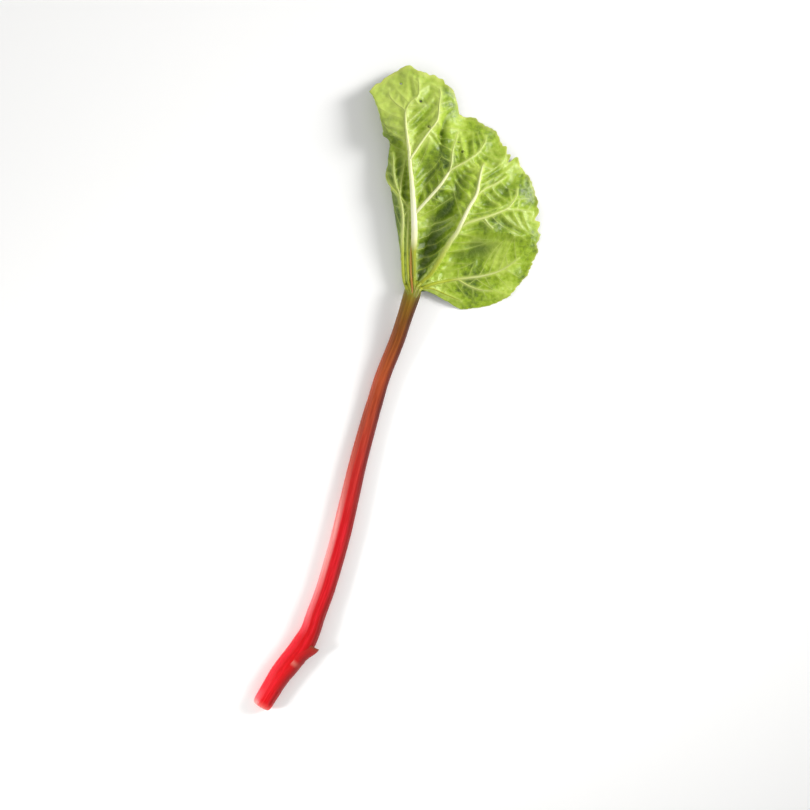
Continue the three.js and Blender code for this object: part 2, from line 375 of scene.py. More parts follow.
# %% The course of the stalk
# x, y, lift of the flat side, width, thickness; from the pulled foot to the leaf.
STALK_STATIONS = np.array([
    (-137.5, -319.5, 0, 19.5, 14.5), (-120.5, -291.5, 0, 21.5, 15.5),
    (-111.5, -279.5, 0, 23, 16), (-102.2, -267.8, 0, 23.2, 16), (-94, -255.8, 0, 22.8, 16),
    (-87.3, -243, 0, 20.2, 15.5), (-81.5, -226, 0, 19.5, 15), (-72.5, -201.5, 0, 19.5, 14.5),
    (-63.5, -171.5, 0, 19.5, 14), (-55.5, -141.5, 0, 19.5, 14), (-48.5, -111.5, 0, 19, 13.5),
    (-39.5, -73.5, 0, 18, 13), (-29.5, -36.5, 0, 17, 12.5), (-22, -11, 0.5, 16, 12.5),
    (-14.5, 13.5, 2, 15.5, 12), (-1.5, 46, 4.5, 15.5, 12), (7, 71, 7.5, 15.5, 12),
    (13.5, 91, 10, 17, 10.5), (15.8, 99, 11, 16.5, 7.5), (16.9, 104.5, 11.4, 13, 4.6),
    (17.5, 109, 11.8, 9, 2.2),
])
LAST_STATION = len(STALK_STATIONS) - 1
STATIONS_TO_LEAF = 18   # station at which the stalk of the solid model ends
END_TAPER = 5.6         # length over which the foot rounds off
FOOT_CENTRE = 0.42      # height of the hollow's middle, as a share of the thickness
RING_STEP = 1.6         # distance between rings
FLAT_CUT = 0.13         # share of the thickness that the flat side cuts off a full oval


def stalk_line(place):
    """Columns x, y, lift, width, thickness at places counted in stations."""
    knots = np.arange(LAST_STATION + 1)
    return np.stack([smooth(knots, STALK_STATIONS[:, column], place) for column in range(5)])


survey = np.linspace(0, LAST_STATION, 2000)
survey_line = stalk_line(survey)
steps = np.hypot(np.diff(survey_line[0]), np.diff(survey_line[1]))
travelled = np.concatenate([[0], np.cumsum(steps)])
stalk_length = travelled[-1]
print(f"stalk: {stalk_length:.0f} mm along its course, plan only")

# %% The rings of the stalk
# The foot's face is a shallow dish: each pair is how deep a ring sits in the foot and its size.
FOOT_DISH = [(2.2, 0.03), (2.0, 0.28), (1.3, 0.48), (0.5, 0.62), (0.1, 0.7), (0.05, 0.76),
             (0.4, 0.83), (1.1, 0.9), (2.3, 0.955), (4.0, 0.99)]
TOP_END = [(0.0, 0.9), (0.6, 0.6), (0.9, 0.05)]
body_rings = np.arange(END_TAPER, stalk_length - 1, RING_STEP)
distance = np.concatenate([
    [depth for depth, size in FOOT_DISH], body_rings,
    [stalk_length - 1 + depth for depth, size in TOP_END],
])
shrink = np.concatenate([
    [size for depth, size in FOOT_DISH], np.ones(len(body_rings)),
    [size for depth, size in TOP_END],
])
station = np.interp(distance, travelled, survey)
x, y, lift, width, thickness = stalk_line(station)
ahead = stalk_line(np.minimum(station + 0.01, LAST_STATION))
behind = stalk_line(np.maximum(station - 0.01, 0))
heading = np.stack([ahead[0] - behind[0], ahead[1] - behind[1], np.zeros(len(x))], axis=-1)
heading /= np.linalg.norm(heading, axis=1)[:, None]
rise = np.where(distance < END_TAPER, (1 - shrink) * thickness * FOOT_CENTRE, 0)
stalk = new_object(
    "stalk_skin", to_frame(x, y, np.maximum(lift, 0) + rise),
    edges=[(ring, ring + 1) for ring in range(len(x) - 1)],
    heading=heading, width=width * MM, thickness=thickness * MM, shrink=shrink,
    along=station / STATIONS_TO_LEAF,
)
print("rings:", len(x))

# %% The node tree that sweeps the section
sweep_tree, node, ins = geometry_tree("Ribbed sweep", [
    ("Sides", "Int", 120), ("Ribs", "Float", 15.0), ("Rib height", "Float", 0.00022),
    ("Flat cut", "Float", FLAT_CUT), ("Unevenness", "Float", 0.0004),
])
path = node("GeometryNodeStoreNamedAttribute", node("GeometryNodeMeshToCurve", ins["Geometry"]),
            inputs={"Name": "centre", "Value": node("GeometryNodeInputPosition")},
            data_type="FLOAT_VECTOR")
share = node("DIVIDE", node("GeometryNodeInputIndex"), ins["Sides"])
ring = node("GeometryNodeStoreNamedAttribute",
            node("GeometryNodeCurvePrimitiveCircle", ins["Sides"]),
            inputs={"Name": "turn", "Value": node("SUBTRACT", share, 0.25)}, data_type="FLOAT")
tube = node("GeometryNodeCurveToMesh", path, ring, inputs={"Fill Caps": True})
centre, heading = (node("named", name, data_type="FLOAT_VECTOR") for name in ("centre", "heading"))
turn, width_here, thickness_here, shrink_here, along = (
    node("named", name, data_type="FLOAT")
    for name in ("turn", "width", "thickness", "shrink", "along"))
angle = node("MULTIPLY", turn, math.tau)
cosine = node("COSINE", angle)
sine = node("SINE", angle)
half = node("MULTIPLY", node("MULTIPLY", width_here, 0.5), shrink_here)
across = node("MULTIPLY", cosine, half)
bulge = node("MAXIMUM", node("MULTIPLY_ADD", sine, 0.5, 0.5), ins["Flat cut"])
bulge = node("DIVIDE", node("SUBTRACT", bulge, ins["Flat cut"]),
             node("SUBTRACT", 1.0, ins["Flat cut"]))
up = node("MULTIPLY", bulge, node("MULTIPLY", thickness_here, shrink_here))

# %% Ribs and unevenness of the section
# A rib wanders a little as it runs, and each is a little taller or lower than the next.
spot = node("ShaderNodeCombineXYZ", node("MULTIPLY", turn, 5.0), node("MULTIPLY", along, 9.0), 3.1)
drift = node("noise", spot, 1.0, 2.0)
phase = node("MULTIPLY", node("MULTIPLY_ADD", drift, 0.05, turn), ins["Ribs"])
wave = node("MULTIPLY", node("COSINE", node("MULTIPLY", phase, math.tau)), drift)
wave = node("MULTIPLY", wave, ins["Rib height"])
lump = node("MULTIPLY", node("SUBTRACT", drift, 0.5), ins["Unevenness"])
out = node("MULTIPLY", node("ADD", wave, lump), node("smooth range", sine, -0.55, 0.1))
out = node("MULTIPLY", out, shrink_here)
out_across = node("MULTIPLY_ADD", out, cosine, across)
out_up = node("MAXIMUM", node("MULTIPLY_ADD", out, sine, up), 0.0)

# %% Ring points into place
right = node("vector", heading, (0.0, 0.0, 1.0), operation="CROSS_PRODUCT")
sideways = node("vector", right, out_across, operation="SCALE")
placed = node("vector", centre, sideways, operation="ADD")
placed = node("vector", placed, node("ShaderNodeCombineXYZ", 0, 0, out_up), operation="ADD")
finish_tree(node, node("GeometryNodeSetPosition", tube, inputs={"Position": placed}), ins["Skin"])
run_tree(stalk, sweep_tree, Skin=skin_material)
face_outwards(stalk)

# %% [markdown]
# ## The form of the leaf
#
# The leaf is thought of twice. Laid flat it is a fan round the point where the stalk ends, and
# every place on it has a flat x and y. As it lies, each flat place has a height, and the left
# half turns under along a fold. One function, lie_of_leaf, goes from the flat leaf to the leaf as
# it lies, so the sheet, the ribs and the small veins all use it and stay together.

# %% Outline and heights of the leaf
JUNCTION = (15.5, 99.5)
BLADE_START = 4.0
LEAST_HEIGHT = 0.9      # lowest the middle of the sheet may lie: it has a thickness
SOLID_EDGE = np.array([
    (-112, 48), (-98, 76), (-80, 110), (-62, 142), (-44, 168), (-28, 186), (-13, 202), (-9, 210),
    (-3, 223), (2.5, 220), (8.5, 214), (12.5, 200), (15.5, 183), (20, 185), (28, 178), (34, 170),
    (37, 161), (39.5, 165), (49, 159.5), (59, 146), (64, 143), (73, 131), (84, 112), (97, 90),
    (112, 52),
])
# The same edge in more detail: bearing from the midrib, + to the right, and distance.
LEAF_EDGE = np.array([
    (-112, 20), (-106, 30), (-98, 50), (-89, 78), (-80, 108), (-71, 127), (-62, 142), (-53, 157),
    (-44, 168), (-36, 179), (-28, 186), (-20, 195), (-15, 199), (-12.5, 203), (-10.5, 206.5),
    (-8, 212), (-5.5, 217), (-2.1, 222.8), (-0.6, 223.4), (0.8, 220.4), (2.1, 218.6), (4.5, 217.1),
    (7, 214.8), (8.3, 214), (9, 208.4), (11.3, 205), (12.5, 198.7), (13.6, 192.4), (14.8, 183.5),
    (16.4, 181.4), (18, 182.6), (19.6, 184.7), (21.5, 182), (23.5, 180.9), (25.7, 181.4),
    (28, 180), (30, 175), (31.9, 171.1), (33.3, 171.9), (34.9, 166.5), (36.2, 166.2),
    (37, 159), (37.9, 169), (40.5, 166), (43.8, 163), (46.5, 162.2), (49.3, 159.6), (52, 156.5),
    (54, 155.2), (56.2, 151.2), (58.3, 148), (60.2, 142.9), (62.8, 143.9), (64.4, 139.6),
    (67, 139), (70, 133), (73, 132), (76, 125), (79, 121), (82, 117), (85, 110.5), (89, 104),
    (93, 98), (97, 89), (101, 80), (106, 66), (112, 52),
])
# Heights by bearing, at even steps from the junction to the edge.
LEAF_HEIGHTS = [
    (-13, (11, 18, 27, 34, 22)), (0, (11, 20, 26, 27, 13)), (10, (11, 20, 25, 25, 7)),
    (20, (11, 20, 27, 22, 3)), (38, (11, 23, 30, 22, 3)), (52, (11, 18, 25, 20, 4)),
    (64, (11, 15, 20, 16, 1)), (80, (11, 12, 12, 8, 0)), (112, (11, 10, 7, 4, 0)),
]
FOLD_LINE = np.array([
    (70, 14), (96, 13), (106, 11), (125, 8.5), (150, 6.5), (172, 4), (200, 0), (228, -4.5),
    (246, -5), (256, -9.5), (272, -15), (286, -20.5), (296, -27), (325, -55),
])

# %% [markdown]
# Two creases break the smooth lie of the leaf. At the upper left the sheet is pleated, and the
# fan above overhangs the strip beside the midrib. At the lower right the sheet bends down along
# a rib, so that the basal lobe lies lower than the rest and in its shade.

# %% Heights, creases and the fold
HEIGHT_STEPS = np.linspace(0, 1, 5)
# Height of the half that is folded under, by y: near the tip it keeps close to the upper layer.
UNDER_HEIGHTS = np.array([(190, 2), (225, 6), (250, 15), (268, 20), (300, 19)])
PLEAT = np.array([(-20, 256), (-9.5, 252), (0.5, 249), (7.5, 243), (11, 236.5), (13, 232)])
PLEAT_DROP = 9.0
LEAST_SPACE = 6.0       # least height of the sheet where the folded half lies below it
CREASE = np.array([
    (24, 100), (38, 119), (54, 143.5), (61.5, 150.5), (74.5, 155.7), (88.4, 156.5),
    (108.3, 155.7), (122, 152.7), (146, 158),
])
CREASE_DROP = 9.0


def polar(x, y):
    """Bearing in degrees and distance of flat places from the junction."""
    dx = x - JUNCTION[0]
    dy = y - JUNCTION[1]
    return np.degrees(np.arctan2(dx, dy)), np.hypot(dx, dy)


def height_at(x, y):
    """Height of the flat place x, y, for places right of the fold."""
    bearing, away = polar(x, y)
    reach = np.clip(away / smooth(*SOLID_EDGE.T, bearing), 0, 1.03)
    rows = np.stack([smooth(HEIGHT_STEPS, heights, reach) for at, heights in LEAF_HEIGHTS])
    height = smooth([at for at, heights in LEAF_HEIGHTS], rows, bearing)
    waves = 3 * np.sin(np.radians(13 * bearing)) + 1.6 * np.sin(np.radians(31 * bearing + 70))
    height = height + waves * reach**5
    below_pleat = smooth(*PLEAT.T, x) - y
    pleated = fade(below_pleat, 0, 5) * (1 - fade(below_pleat, 12, 85)) * (1 - fade(x, 9, 13.5))
    below_crease = smooth(*CREASE.T, x) - y
    creased = fade(below_crease, 0, 7) * fade(x, 24, 60) * (1 - 0.55 * fade(reach, 0.75, 1))
    dropped = height - PLEAT_DROP * pleated - CREASE_DROP * creased
    return np.maximum(dropped, np.minimum(height, LEAST_SPACE))


def fold_at(x, y):
    """The fold's x beside flat places x, y, the height there and the radius of the turn."""
    fold = smooth(*FOLD_LINE.T, y)
    top = height_at(np.maximum(x, fold), y)
    below = smooth(*UNDER_HEIGHTS.T, y)
    return fold, top, np.maximum((top - below) / 2, 0.7)


def lie_of_leaf(x, y):
    """The leaf as it lies: frame places in millimetres of plan, for flat places x, y."""
    fold, top, radius = fold_at(x, y)
    past = np.maximum(fold - x, 0)
    turned = np.minimum(past / radius, math.pi)
    beyond = np.maximum(past - math.pi * radius, 0)
    lying_x = np.where(past > 0, fold - radius * np.sin(turned) + beyond, x)
    height = top - radius * (1 - np.cos(turned))
    return np.stack([lying_x, y, height], axis=-1)


def outward_at(x, y):
    """The direction that the veined side faces at flat places x, y."""
    step = 0.4
    east = lie_of_leaf(x + step, y) - lie_of_leaf(x - step, y)
    north = lie_of_leaf(x, y + step) - lie_of_leaf(x, y - step)
    normal = np.cross(east, north)
    return normal / np.linalg.norm(normal, axis=1)[:, None]


print("height near the tip of the midrib:", height_at(np.array([15.0]), np.array([215.0])).round(1))

# %% [markdown]
# ## Where the veins run
#
# The main ribs fan out from the end of the stalk and fork towards the edge: they are given
# as a few flat places each, with a few radii from start to end. The side veins follow a rule, as
# they do in the plant. They leave a rib by turns to the left and to the right, bend forward, and
# stop when they meet another vein or come near the edge.

# %% The main ribs
MAIN_RIBS = [
    # flat places; the radius and how cream it is, both at even steps from start to end
    ([(15.8, 92), (16.8, 104), (16.5, 136.5), (16.9, 160), (16, 180), (14.8, 198.5), (13.4, 215.5),
      (12.5, 230), (9.5, 251.5), (8.1, 265.5), (8.1, 278)],
     (1.2, 1.4, 1.8, 3.2, 3.1, 2.7, 2.2, 1.8, 1.5, 1.2, 0.9),
     (1, 1, 1, 0.95, 0.9, 0.9, 0.75, 0.75)),
    ([(14.9, 90), (14.6, 97), (14.2, 106), (13.6, 115), (13.4, 125), (13.6, 135), (14.3, 143),
      (15.2, 150)],
     (0.7, 1.0, 1.15, 1.15, 1.0, 0.5), 0.0),
    ([(8.3, 272.5), (8.9, 277.5), (13, 285), (20, 291.3), (21.5, 299), (21, 309)],
     (0.7, 0.5, 0.3), 0.5),
    ([(8.4, 272), (7.2, 276.5), (4.5, 279.5), (0.4, 282.2), (-7.3, 290.6), (-8.7, 299)],
     (0.6, 0.45, 0.3), 0.5),
    ([(15.8, 91), (18.4, 100), (26.5, 109), (34.8, 116.8), (51.5, 144.5), (59.9, 156.5),
      (70.8, 178.9), (78.5, 192.7), (81.5, 206.5), (84.5, 220.2), (87, 225)],
     (1.4, 1.7, 2.1, 2.3, 2.1, 1.8, 1.5, 1.1, 0.6), (0.4, 0.4, 0.2, 0.1, 0.4, 0.85, 0.9, 0.8, 0.7)),
    ([(78, 191.5), (88, 199.5), (97.5, 204.2), (109, 212.5)], (0.8, 0.6, 0.3), 0.35),
    ([(61, 159), (70, 164.5), (85.5, 169.5), (94.5, 172.8), (108.3, 178.9), (114.5, 185),
      (119, 192.7), (120.5, 200.5)], (1.2, 0.9, 0.35), (0.2, 0.45)),
    ([(86, 169.5), (90, 164), (94.5, 159.8)], (0.6, 0.4, 0.3), 0.4),
    ([(107, 178.3), (120, 179.2), (132.5, 178.2)], (0.6, 0.4, 0.3), 0.3),
    ([(12.3, 226), (14.6, 230.8), (25.7, 247.1), (32.7, 256.9), (39, 265.3), (41.1, 273.8),
      (41.8, 285), (43.2, 294.8), (41.8, 301)], (1.1, 0.8, 0.35), (0.9, 1)),
    ([(15.4, 168.3), (17, 172.8), (20, 177), (30.5, 188.5), (42.5, 201.9), (52.5, 217.2)],
     (1.6, 1.5, 1.2), (0.5, 0.75, 0.9, 1)),
    ([(50.4, 214), (53.4, 217.6), (60, 221.5), (69.3, 227.1), (80.8, 236.3), (87.5, 247),
      (88.5, 254)], (0.9, 0.65, 0.35), (0.5, 0.25)),
    ([(50.6, 214.3), (52.8, 218.6), (54, 226), (55.1, 237.3), (57.9, 247.8), (60.5, 258.5)],
     (0.8, 0.6, 0.3), 0.5),
    ([(17.5, 91), (23.5, 100), (38.5, 106), (60, 110), (84, 113), (104, 119), (122, 131)],
     (1.9, 1.2, 0.4), 0.3),
    ([(60, 110), (72, 103), (84, 99), (95, 98)], (0.8, 0.6, 0.3), 0.3),
    ([(24, 100.5), (36, 100), (50, 94), (64, 88)], (1.1, 0.7, 0.3), 0.3),
    ([(13.6, 93), (11.4, 104), (10.2, 118), (10.0, 135), (10.3, 155), (11.2, 172), (13, 180)],
     (1.1, 1.2, 1.0, 0.7, 0.4), 0.2),
    ([(12.6, 90), (8.8, 102), (5.8, 114), (5, 148.5), (5.5, 171.5), (1.5, 195), (-0.8, 201.2),
      (-3.6, 215.5), (-4.2, 234)], (1.9, 1.2, 0.4), 0.25),
    ([(2, 193), (3.8, 206.5), (6.1, 218.5), (9.5, 231)], (0.8, 0.55, 0.3), 0.25),
    ([(5.4, 171), (9, 175.5), (12.5, 178.2)], (0.6, 0.45, 0.3), 0.3),
    # the half that is folded under
    ([(-14, 140), (-34, 164), (-52, 188), (-64, 210), (-66, 226)],
     (0.6, 1.2, 0.5), 0.1),
    ([(-14, 121), (-30, 122), (-50, 123), (-74, 125)], (0.5, 1.0, 0.5), 0.1),
    ([(14, 178), (-2, 196), (-22, 220), (-36, 238), (-44, 256)], (0.7, 0.9, 0.4), 0.1),
    ([(-34, 164), (-52, 174), (-74, 180), (-90, 182)], (1.0, 0.7, 0.4), 0.4),
]
VEIN_STEP = 1.5
VEIN_TIP = 5.0          # over this length a rib thins out to its end,
TIP_GIRTH = 0.35        # where this share of its radius is left


def drawn_line(places, girths):
    """An even run of points and radii along a smooth line through a few flat places."""
    places = np.array(places, float)
    knots = np.arange(len(places))
    fine_at = np.linspace(0, len(places) - 1, 40 * len(places))
    line = np.stack([smooth(knots, places[:, axis], fine_at) for axis in (0, 1)], axis=-1)
    length = np.concatenate([[0], np.cumsum(np.linalg.norm(np.diff(line, axis=0), axis=1))])
    stops = np.linspace(0, length[-1], max(int(length[-1] / VEIN_STEP), 3) + 1)
    points = np.stack([np.interp(stops, length, line[:, axis]) for axis in (0, 1)], axis=-1)
    girth = np.interp(stops / length[-1], np.linspace(0, 1, len(girths)), girths)
    to_tip = np.clip((length[-1] - stops) / VEIN_TIP, 0, 1)
    return points, girth * (TIP_GIRTH + (1 - TIP_GIRTH) * to_tip)


main_lines = [drawn_line(places, girths) for places, girths, cream in MAIN_RIBS]
main_cream = [
    np.interp(np.linspace(0, 1, len(points)), np.linspace(0, 1, np.size(cream)), np.ravel(cream))
    for (points, girth), (places, girths, cream) in zip(main_lines, MAIN_RIBS)
]
FLUSHED_RIB = 1         # the strand on the left of the midrib is pink
print("main ribs:", len(main_lines), "points:", sum(len(points) for points, girth in main_lines))

# %% The side veins, grown by rule
SIDE_VEIN_GAP = 10.5        # distance between side veins on a rib
SIDE_VEIN_ANGLE = 66.0      # at which they leave it,
ANGLE_SPREAD = 9.0          # give or take this much
SIDE_VEIN_BEND = 0.45       # degrees of forward bend for each millimetre
WANDER = 0.02               # chance turn at each step, in radians
SIDE_VEIN_LENGTH = 44.0     # the longest
SIDE_VEIN_END = 0.955       # share of the way to the edge where they stop
BARE_BEARING = 98           # none grow beyond this bearing, beside the stalk
FORWARD_LEAN = math.radians(14)     # they stop bending this near to the rib's own direction
FEWEST_POINTS = 5           # shorter ones are left out
GIRTH_AT_MOST, GIRTH_AT_END = 0.34, 0.14        # radius
MEETING = 1.6               # nearer than this, two veins have met
chance = np.random.default_rng(7)


def edge_share(x, y):
    """How far out a flat place is: 1 on the edge."""
    bearing, away = polar(x, y)
    return away / smooth(*LEAF_EDGE.T, bearing)


def turned_by(direction, angle):
    """A direction in plan, turned to the left by an angle."""
    c, s = math.cos(angle), math.sin(angle)
    return np.array([c * direction[0] - s * direction[1], s * direction[0] + c * direction[1]])


def grow(start, direction, forward, others):
    """One side vein as a run of flat points."""
    points = [start]
    heading_now = direction
    while len(points) * VEIN_STEP < SIDE_VEIN_LENGTH:
        bend = math.radians(SIDE_VEIN_BEND * VEIN_STEP)
        side = np.sign(heading_now[0] * forward[1] - heading_now[1] * forward[0])
        if heading_now @ forward < math.cos(FORWARD_LEAN):
            heading_now = turned_by(heading_now, side * bend + chance.normal(0, WANDER))
        ahead_point = points[-1] + heading_now * VEIN_STEP
        bearing_now = abs(polar(ahead_point[0], ahead_point[1])[0])
        outward = edge_share(ahead_point[:1], ahead_point[1:])[0]
        if bearing_now > BARE_BEARING or outward > SIDE_VEIN_END:
            break
        points.append(ahead_point)
        if np.min(np.linalg.norm(others - ahead_point, axis=1)) < MEETING:
            break
    return np.array(points)


side_lines = []
for number, (points, girths) in enumerate(main_lines):
    others = np.concatenate([line for place, (line, girth) in enumerate(main_lines)
                             if place != number])
    every = int(SIDE_VEIN_GAP / VEIN_STEP)
    first = 16 if len(points) > 50 else 5       # the start of a rib is bare
    for place in range(first, len(points) - 2, every):
        forward = points[place + 1] - points[place - 1]
        forward /= np.linalg.norm(forward)
        for side in (-1, 1):
            start_at = min(place + (every // 2 if side > 0 else 0), len(points) - 2)
            lean = math.radians(side * (SIDE_VEIN_ANGLE + chance.normal(0, ANGLE_SPREAD)))
            near = np.concatenate([others, *(line for line, girth in side_lines)])
            vein = grow(points[start_at], turned_by(forward, lean), forward, near)
            if len(vein) >= FEWEST_POINTS:
                size = min(GIRTH_AT_MOST, 0.5 * girths[start_at] + 0.08)
                side_lines.append((vein, np.linspace(size, GIRTH_AT_END, len(vein))))
print("side veins:", len(side_lines), "points:", sum(len(line) for line, girth in side_lines))

# %% [markdown]
# ## How the sheet hangs between the veins
#
# Seen from its underside, a rhubarb leaf is a net of ridges with hollows between them: deep ones
# between the main ribs and shallow ones between the side veins. The depth at a place follows from
# how far away the nearest vein is, so two search trees are filled with points of the veins.

# %% Hollows between veins
def search_tree(lines):
    """A search tree over all points of the lines, and the radius at each point."""
    points = np.concatenate([line for line, girth in lines])
    found = kdtree.KDTree(len(points))
    for number, (x, y) in enumerate(points):
        found.insert((x, y, 0), number)
    found.balance()
    return found, np.concatenate([girth for line, girth in lines])


main_search = search_tree(main_lines)
side_search = search_tree(main_lines + side_lines)


def distance_to(search, x, y):
    """Distance from the side of the nearest vein, for each flat place."""
    found, girths = search
    away = np.empty(len(x))
    for number, place in enumerate(zip(x.tolist(), y.tolist())):
        nearest, gap = found.find((*place, 0))[1:]
        away[number] = gap - girths[nearest]
    return np.maximum(away, 0)


POCKET_DEPTH, POCKET_REACH = 8.5, 9.5       # between main ribs, and how far from them it is deep
QUILT_DEPTH, QUILT_REACH = 2.5, 3.0         # the same between side veins
BUCKLES = [(2.4, 34, 4.2), (1.8, 14, 9.1), (1.0, 7, 1.3)]       # height, length, layer of noise
# Broad dents: middle x, y; bearing of the long way; half length, half width, depth.
DENTS = [
    (29.5, 143.5, 24, 32, 8, 3.5), (60.0, 211.0, 25, 26, 6, 4.0), (48.5, 257.0, 8, 17, 6, 9.0),
    (80.0, 232.0, 50, 14, 5, 3.0), (30.0, 207.0, 30, 16, 4, 2.0),
    # and broad swellings
    (72.5, 202.0, 12, 22, 5.5, -3.5), (72.0, 244.0, 30, 20, 9, -3.5), (12.0, 300.0, 0, 16, 8, -3.0),
    (35.0, 238.0, 35, 14, 6, -2.0), (63.0, 260.0, 10, 18, 10, -4.0),
]


def dented(x, y):
    """Depth that the dents and swellings give each flat place."""
    depth = 0
    for at_x, at_y, way, length, breadth, deep in DENTS:
        north, east = math.cos(math.radians(way)), math.sin(math.radians(way))
        lengthwise = ((x - at_x) * east + (y - at_y) * north) / length
        crosswise = ((x - at_x) * north - (y - at_y) * east) / breadth
        depth = depth + deep * np.exp(-lengthwise**2 - crosswise**2)
    return depth


def hollow(x, y):
    """Depth of the sheet below the ribs, and the distances it came from."""
    main_gap = distance_to(main_search, x, y)
    side_gap = distance_to(side_search, x, y)
    share = np.clip(edge_share(x, y), 0, 1)
    pocket = POCKET_DEPTH * (1 - np.exp(-(main_gap / POCKET_REACH) ** 1.5))
    quilt = QUILT_DEPTH * (1 - np.exp(-(side_gap / QUILT_REACH) ** 2))
    buckle = sum(size * noise_at(x / length, y / length, layer)
                 for size, length, layer in BUCKLES)
    calm = fade(main_gap, 0, 9) * (1 - 0.55 * fade(share, 0.6, 0.9))
    fan_left = fade(y - smooth(*PLEAT.T, x), 0, 12) * (1 - fade(x, 9, 15))
    pocket = pocket * (1 - 0.9 * share**3) * (1 - 0.75 * fan_left)
    depth = pocket + quilt * (1 - 0.4 * share**7) * (1 - 0.4 * fan_left)
    depth = depth + (dented(x, y) - buckle) * calm
    return depth, main_gap, side_gap


def on_leaf(x, y, stand=0.0):
    """Places on the veined side of the leaf as it lies, lifted off it by stand."""
    depth, main_gap, side_gap = hollow(x, y)
    place = lie_of_leaf(x, y)
    fold, top, radius = fold_at(x, y)
    under = fade(fold - x, 8, 30)
    # Where the leaf lies low there is little room for hollows, and a crease pulls it taut.
    depth = depth * np.where(under > 0, 1 - 0.85 * under, fade(place[:, 2], 2, 15))
    to_crease = smooth(*CREASE.T, x) - 4 - y
    depth = depth * (1 - 0.75 * np.exp(-(to_crease / 7) ** 2) * fade(x, 34, 60))
    to_pleat = smooth(*PLEAT.T, x) - 3 - y
    depth = depth * (1 - 0.75 * np.exp(-(to_pleat / 6) ** 2) * (1 - fade(x, 8, 13)))
    # The turn of the fold is tighter than a deep hollow.
    at_fold = 1 - fade(x - fold, 2, 14)
    depth = depth + (np.clip(depth, -0.3 * radius, 0.35 * radius) - depth) * at_fold
    share = edge_share(x, y)
    place = place + outward_at(x, y) * (stand - depth)[:, None]
    least = np.where(under > 0, LEAST_HEIGHT, 4.2 - (4.2 - LEAST_HEIGHT) * fade(share, 0.7, 0.97))
    place[:, 2] = np.maximum(place[:, 2], least)
    return place, depth, main_gap, side_gap


# %% [markdown]
# ## The two faces of the leaf
#
# The underside is pale yellow green, lighter along every vein, with painted shade that darkens it
# in the hollows and painted light, a soft bloom, where it swells up. The upper face, which lies
# downwards, is a deeper, shinier green. Both are living leaf: a waxy film over soft tissue, so the
# gloss is broad and low. The finest net of veins is too small to be a mesh. It is drawn by a cell
# pattern in the flat leaf's own places, the "flat" attribute.

# %% Leaf materials
# The cells are bent out of shape by noise of this scale, by up to these metres.
WARP_SCALE, WARP = 120.0, (0.0045, 0.0045, 0.0)


def leaf_material(name, low, middle, high, net, roughness, net_strength):
    """Living leaf from three greens, the colour of its fine veins and its gloss."""
    material, node, shader = new_material(name)
    flat = node("ShaderNodeAttribute", attribute_name="flat").outputs["Vector"]
    sunk, near, rim = (node("ShaderNodeAttribute", attribute_name=label).outputs["Fac"]
                       for label in ("sunk", "near_vein", "share"))
    # Patches 30 mm across, and mottling of 4 mm, in metres of the flat leaf.
    patches = node("noise", flat, 33.0, 3.0)
    mottle = node("noise", flat, 240.0, 3.0)
    warped = node("noise", flat, WARP_SCALE, 1.0)
    bent = node("vector", warped.outputs["Color"], WARP, flat, operation="MULTIPLY_ADD")
    # The net of small veins: cells of about 6 mm, and a finer net of about 2 mm inside them.
    cells = node("cells", bent, 165.0)
    small_cells = node("cells", bent, 470.0)
    greens = node("MULTIPLY_ADD", mottle, 0.45, patches)
    greens = node("range", greens, 0.5, 0.94)
    tone = set_ramp(node("ramp", greens), [(0.0, low), (0.5, middle), (1.0, high)])
    # Painted shade: the deeper a place lies, the darker its green.
    shade = node("range", sunk, 3.4, 10.5, 0.0, 0.85)
    toned = node("mix", shade, tone, colour(low))
    # Painted light: where a place stands up, or counts as less deep, its green turns paler.
    raised_painted_light = node("range", sunk, 0.0, -4.0, 0.0, 0.55)
    toned = node("mix", raised_painted_light, toned, colour(net))
    line = node("smooth range", cells, 0.0, 0.09, net_strength, 0.0)
    small_line = node("range", small_cells, 0.0, 0.14, net_strength * 0.45, 0.0)
    lines = node("MAXIMUM", line, small_line)
    lines = node("MAXIMUM", lines, near)
    netted = node("mix", lines, toned, colour(net))
    dry = node("range", rim, 0.975, 1.0, 0.0, 0.5)
    edged = node("mix", dry, netted, colour("#c9cc6a"))
    swell = node("ADD", lines, mottle)
    connect(shader, {
        "Base Color": edged, "IOR": 1.45,
        "Roughness": node("range", mottle, 0, 1, roughness - 0.08, roughness + 0.1),
        "Subsurface Weight": 0.06, "Subsurface Radius": (0.5, 1.0, 0.2),
        "Subsurface Scale": 0.002,
        "Normal": node("ShaderNodeBump",
                       inputs={"Strength": 0.4, "Distance": 0.0005, "Height": swell}),
    })
    print("material:", name)
    return material


underside_material = leaf_material("rhubarb_leaf_underside", "#3c5800", "#8ba713", "#b5ca50",
                                   "#bece66", 0.4, 0.16)
upper_material = leaf_material("rhubarb_leaf_upper_face", "#44651a", "#557a20", "#68902c",
                               "#80a048", 0.34, 0.3)

# %% [markdown]
# ## The sheet of the leaf
#
# The sheet starts as rings of points round the junction, out to the edge. Rings far out need more
# points than rings near the stalk, so the number of columns doubles a few times on the way. The
# side that is folded under gets wider columns, because little of it shows. Insects have bitten a
# few small holes. Then Geometry Nodes press the small cells between the finest veins into it, and
# a Solidify modifier gives it thickness, with the upper face's material on its lower side.

# %% The grid of the sheet
COLUMNS = 432
SHOWN_COLUMNS = 324
SHOWN_TO = -14.0            # bearing at which the wider columns begin
RINGS = 176
DOUBLINGS = [17, 35, 70, 140]
LEAF_THICKNESS = 0.6
TOOTH_LENGTH = 1.6
INSECT_HOLES = [(3.2, 305.3, 1.3), (23.5, 287.1, 1.5), (31.4, 260.6, 1.5), (65.3, 237.3, 1.6)]

first_bearing = LEAF_EDGE[-1, 0]
last_bearing = LEAF_EDGE[0, 0]


